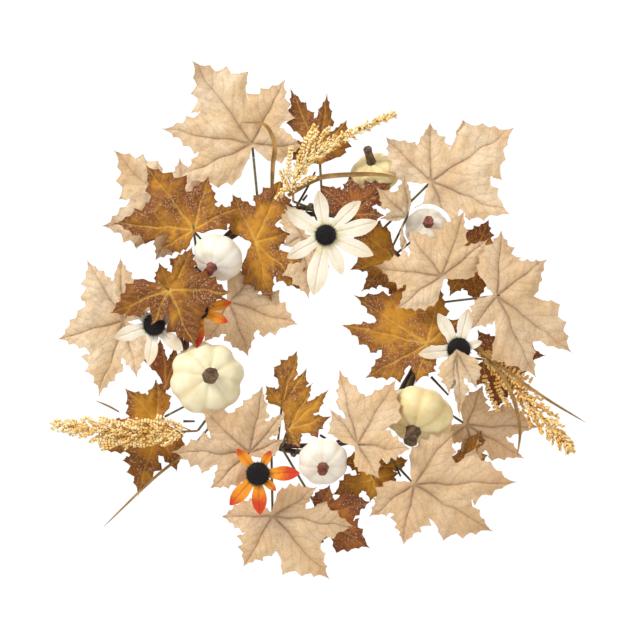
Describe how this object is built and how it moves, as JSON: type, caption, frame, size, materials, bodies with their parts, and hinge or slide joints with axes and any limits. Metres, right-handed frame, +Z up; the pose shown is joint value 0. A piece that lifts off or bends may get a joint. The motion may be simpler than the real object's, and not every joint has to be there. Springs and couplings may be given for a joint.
{
  "type": "door wreath",
  "caption": "Harvest door wreath: a twisted vine ring dressed with fabric maple leaves, foam pumpkins, daisies, sorghum heads and grass blades on bendable wired stems.",
  "frame": {"origin": "the hang point, where a door hook touches the inside of the ring's top", "axes": "+Z up, +X to the visitor's right, -Y out of the dressed front, +Y into the door"},
  "size_m": [0.524, 0.082, 0.5106],
  "materials": {
    "vine": "satin",
    "stem": "satin",
    "fabric_cream": "matte",
    "fabric_amber": "matte",
    "fabric_rust": "matte",
    "foam_ivory": "satin",
    "foam_butter": "satin",
    "moulded_stalk": "matte",
    "petal_cream": "matte",
    "petal_orange": "matte",
    "flock_black": "matte",
    "sorghum_grain": "satin",
    "dried_grass": "matte"
  },
  "bodies": {
    "ring_and_picks": {"amber_leaf_bottom": "fabric_amber", "amber_leaf_bottom_small": "fabric_amber", "amber_leaf_eight": "fabric_amber", "amber_leaf_five": "fabric_amber", "amber_leaf_one": "fabric_amber", "amber_leaf_three": "fabric_amber", "amber_leaf_twelve": "fabric_amber", "cream_leaf_eleven": "fabric_cream", "cream_leaf_four": "fabric_cream", "cream_leaf_inner_left": "fabric_cream", "cream_leaf_inner_top": "fabric_cream", "cream_leaf_one": "fabric_cream", "cream_leaf_ten": "fabric_cream", "daisy_nine_eye": "flock_black", "daisy_nine_petals": "petal_cream", "daisy_ten_eye": "flock_black", "daisy_ten_petals": "petal_orange", "daisy_three_eye": "flock_black", "daisy_three_petals": "petal_cream", "grass_blade_eleven": "dried_grass", "grass_blade_seven": "dried_grass", "pick_wire_lower_left": "stem", "pick_wire_lower_right": "stem", "pick_wire_upper_left": "stem", "pick_wire_upper_right": "stem", "pumpkin_eight": "foam_butter", "pumpkin_eight_stalk": "moulded_stalk", "pumpkin_four": "foam_butter", "pumpkin_four_stalk": "moulded_stalk", "pumpkin_one": "foam_butter", "pumpkin_one_stalk": "moulded_stalk", "pumpkin_six": "foam_ivory", "pumpkin_six_stalk": "moulded_stalk", "pumpkin_ten": "foam_ivory", "pumpkin_ten_stalk": "moulded_stalk", "pumpkin_two": "foam_ivory", "pumpkin_two_stalk": "moulded_stalk", "ring_strand_first": "vine", "ring_strand_second": "vine", "rust_leaf_four": "fabric_rust", "rust_leaf_one": "fabric_rust", "rust_leaf_six": "fabric_rust"},
    "cream_leaf_nine_bent": {"cream_leaf_nine": "fabric_cream"},
    "cream_leaf_seven_bent": {"cream_leaf_seven": "fabric_cream"},
    "cream_leaf_six_bent": {"cream_leaf_six": "fabric_cream"},
    "cream_leaf_five_bent": {"cream_leaf_five": "fabric_cream"},
    "cream_leaf_inner_bottom_bent": {"cream_leaf_inner_bottom": "fabric_cream"},
    "cream_leaf_three_bent": {"cream_leaf_three": "fabric_cream"},
    "cream_leaf_two_bent": {"cream_leaf_two": "fabric_cream"},
    "amber_leaf_ten_bent": {"amber_leaf_ten": "fabric_amber"},
    "amber_leaf_inner_top_bent": {"amber_leaf_inner_top": "fabric_amber"},
    "amber_leaf_nine_bent": {"amber_leaf_nine": "fabric_amber"},
    "daisy_top_head": {"daisy_top_petals": "petal_cream", "daisy_top_eye": "flock_black"},
    "daisy_seven_head": {"daisy_seven_petals": "petal_orange", "daisy_seven_eye": "flock_black"},
    "sorghum_eight_head": {"sorghum_eight": "sorghum_grain"},
    "sorghum_twelve_head": {"sorghum_twelve": "sorghum_grain"},
    "sorghum_three_and_blade": {"sorghum_three": "sorghum_grain", "grass_blade_three": "dried_grass"}
  },
  "joints": [
    {"name": "cream_leaf_nine_bend", "type": "hinge", "parent": "ring_and_picks", "child": "cream_leaf_nine_bent", "pos_m": [-0.163, -0.0072, -0.1005], "axis": [-0.251, 0, 0.968], "range_deg": [-5, 12]},
    {"name": "cream_leaf_seven_bend", "type": "hinge", "parent": "ring_and_picks", "child": "cream_leaf_seven_bent", "pos_m": [-0.0473, -0.0302, -0.2293], "axis": [0.438, 0, 0.899], "range_deg": [0, 12]},
    {"name": "cream_leaf_six_bend", "type": "hinge", "parent": "ring_and_picks", "child": "cream_leaf_six_bent", "pos_m": [-0.0292, -0.0299, -0.2821], "axis": [-0.8729, 0, -0.4879], "range_deg": [0, 18]},
    {"name": "cream_leaf_five_bend", "type": "hinge", "parent": "ring_and_picks", "child": "cream_leaf_five_bent", "pos_m": [0.1016, -0.0394, -0.2546], "axis": [-0.318, 0, -0.9481], "range_deg": [-5, 7]},
    {"name": "cream_leaf_inner_bottom_bend", "type": "hinge", "parent": "ring_and_picks", "child": "cream_leaf_inner_bottom_bent", "pos_m": [0.0495, -0.0284, -0.2241], "axis": [0.7539, 0, -0.6569], "range_deg": [0, 13]},
    {"name": "cream_leaf_three_bend", "type": "hinge", "parent": "ring_and_picks", "child": "cream_leaf_three_bent", "pos_m": [0.1787, -0.0415, -0.0801], "axis": [-0.189, 0, -0.982], "range_deg": [-2, 8]},
    {"name": "cream_leaf_two_bend", "type": "hinge", "parent": "ring_and_picks", "child": "cream_leaf_two_bent", "pos_m": [0.1298, -0.0333, -0.0645], "axis": [0.9885, 0, 0.1509], "range_deg": [0, 5]},
    {"name": "amber_leaf_ten_bend", "type": "hinge", "parent": "ring_and_picks", "child": "amber_leaf_ten_bent", "pos_m": [-0.1054, -0.0241, -0.0248], "axis": [0.8553, 0, 0.5182], "range_deg": [-8, 12]},
    {"name": "amber_leaf_inner_top_bend", "type": "hinge", "parent": "ring_and_picks", "child": "amber_leaf_inner_top_bent", "pos_m": [-0.0533, -0.015, -0.0169], "axis": [-0.312, 0, -0.9501], "range_deg": [-4, 10]},
    {"name": "amber_leaf_nine_bend", "type": "hinge", "parent": "ring_and_picks", "child": "amber_leaf_nine_bent", "pos_m": [-0.1265, -0.0423, -0.0754], "axis": [-0.9935, 0, 0.1139], "range_deg": [0, 4]},
    {"name": "daisy_top_head_bend", "type": "hinge", "parent": "ring_and_picks", "child": "daisy_top_head", "pos_m": [0.023, -0.0378, -0.0126], "axis": [-0.9019, 0, -0.432], "range_deg": [-12, 15]},
    {"name": "daisy_seven_head_bend", "type": "hinge", "parent": "ring_and_picks", "child": "daisy_seven_head", "pos_m": [-0.0409, -0.0441, -0.2461], "axis": [-0.9537, 0, -0.3009], "range_deg": [-10, 15]},
    {"name": "sorghum_eight_head_bend", "type": "hinge", "parent": "ring_and_picks", "child": "sorghum_eight_head", "pos_m": [-0.1029, -0.0282, -0.2117], "axis": [-0.028, 0, 0.9996], "range_deg": [-4, 18]},
    {"name": "sorghum_twelve_head_bend", "type": "hinge", "parent": "ring_and_picks", "child": "sorghum_twelve_head", "pos_m": [-0.0089, -0.0312, 0.0143], "axis": [0.6842, 0, -0.7293], "range_deg": [-4, 18]},
    {"name": "sorghum_three_sway", "type": "hinge", "parent": "ring_and_picks", "child": "sorghum_three_and_blade", "pos_m": [0.1691, -0.0242, -0.1301], "axis": [0, -1, 0], "range_deg": [-4, 4]}
  ]
}
